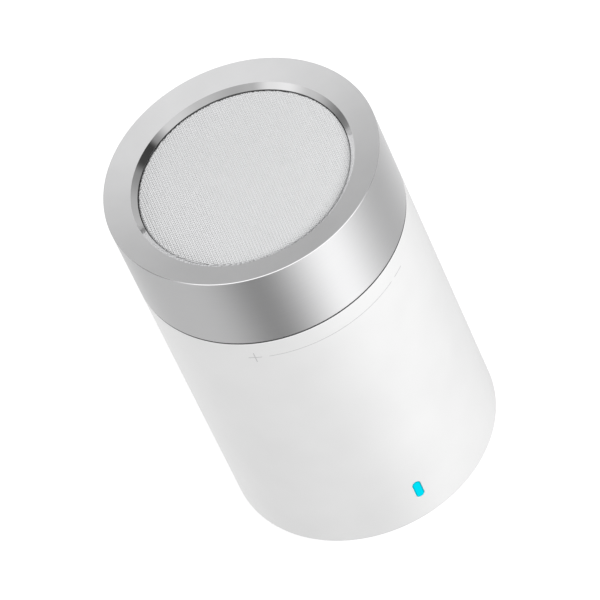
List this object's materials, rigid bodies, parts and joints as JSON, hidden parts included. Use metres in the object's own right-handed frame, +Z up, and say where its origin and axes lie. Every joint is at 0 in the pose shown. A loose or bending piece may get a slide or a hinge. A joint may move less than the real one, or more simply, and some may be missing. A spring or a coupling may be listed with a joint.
{
  "type": "smart speaker",
  "caption": "Round upright desktop speaker: white tube body, satin metal volume ring that turns round a recessed mesh grille, low front status light.",
  "frame": {"origin": "centre of the underside of the foot pad, on the table", "axes": "+Z up along the tube's axis, -Y towards the status light (front), +Y towards the charging socket, +X to the right seen from the front"},
  "size_m": [0.06, 0.06, 0.0925],
  "materials": {
    "white_plastic": "satin moulded plastic",
    "ring_aluminium": "fine turned, satin anodised, bright cut chamfer",
    "light_pipe": "clear light pipe, lit cyan",
    "grey_rubber": "matt silicone",
    "black_rubber": "matt",
    "black_foam": "closed-cell foam",
    "grille_mesh": "fine woven mesh, pale grey",
    "acoustic_cloth": "thin woven cloth",
    "bearing_plastic": "natural acetal",
    "black_plastic": "fine-textured moulding",
    "steel": "plated",
    "basket_steel": "black coated pressing",
    "magnet_plating": "nickel plated",
    "cone_paper": "pressed paper",
    "coil_wire": "enamelled winding",
    "cell_wrap": "shrink sleeve",
    "board_laminate": "solder mask",
    "chip_plastic": "moulded",
    "connector_plastic": "moulded",
    "can_aluminium": "drawn can",
    "lead_sleeve": "wire insulation"
  },
  "bodies": {
    "housing": {"body_shell": "white_plastic", "light_window": "light_pipe", "seam_ring": "black_rubber", "base_cover": "white_plastic", "foot_pad": "grey_rubber", "base_screw_1": "steel", "base_screw_2": "steel", "base_screw_3": "steel", "lower_glide_ring": "bearing_plastic", "upper_glide_ring": "bearing_plastic", "encoder_body": "black_plastic", "encoder_bracket": "steel", "bracket_screw_1": "steel", "bracket_screw_2": "steel", "deck_plate": "black_plastic", "deck_screw_1": "steel", "deck_screw_2": "steel", "deck_screw_3": "steel", "frame_screw_1": "steel", "frame_screw_2": "steel", "frame_screw_3": "steel", "inner_frame": "black_plastic", "grille": "grille_mesh", "dust_cloth": "acoustic_cloth", "grille_hoop": "black_plastic", "surround": "black_rubber", "spider": "acoustic_cloth", "yoke_cup": "steel", "magnet": "magnet_plating", "pole_plate": "steel", "driver_basket": "basket_steel", "driver_gasket": "black_foam", "chamber_plate": "black_plastic", "chamber_seal": "black_rubber", "lead_grommet": "black_rubber", "cell_cradle": "black_plastic", "cell_pad": "black_foam", "battery_cell": "cell_wrap", "main_board": "board_laminate", "radio_shield": "steel", "amplifier_chip": "chip_plastic", "lead_header": "connector_plastic", "light_chip": "connector_plastic", "capacitor": "can_aluminium", "charging_socket": "steel", "button_switch": "chip_plastic", "microphone": "steel", "microphone_boot": "black_rubber", "driver_lead": "lead_sleeve", "cell_lead": "lead_sleeve", "encoder_lead": "lead_sleeve"},
    "volume_ring": {"control_ring": "ring_aluminium", "ring_gear": "bearing_plastic"},
    "pinion": {"pinion_gear": "bearing_plastic", "encoder_shaft": "steel"},
    "diaphragm": {"cone": "cone_paper", "dust_cap": "cone_paper", "voice_coil": "coil_wire"},
    "button": {"function_button": "white_plastic"}
  },
  "joints": [
    {"name": "ring_turn", "type": "hinge", "parent": "housing", "child": "volume_ring", "pos_m": [0, 0, 0.078], "axis": [0, 0, 1], "range_deg": [-150, 150]},
    {"name": "pinion_turn", "type": "hinge", "parent": "housing", "child": "pinion", "pos_m": [0, 0.021, 0.075], "axis": [0, 0, 1], "range_deg": [-900, 900]},
    {"name": "diaphragm_travel", "type": "slide", "parent": "housing", "child": "diaphragm", "axis": [0, 0, 1], "range_m": [-0.0008, 0.0008], "stiffness_N_per_m": 1500, "deforming": ["surround", "spider"]},
    {"name": "button_press", "type": "slide", "parent": "housing", "child": "button", "axis": [-0.4226, -0.9063, 0], "range_m": [0, 0.0005], "stiffness_N_per_m": 2000}
  ],
  "couplings": [
    {"joint": "pinion_turn", "follows": "ring_turn", "ratio": 6}
  ]
}
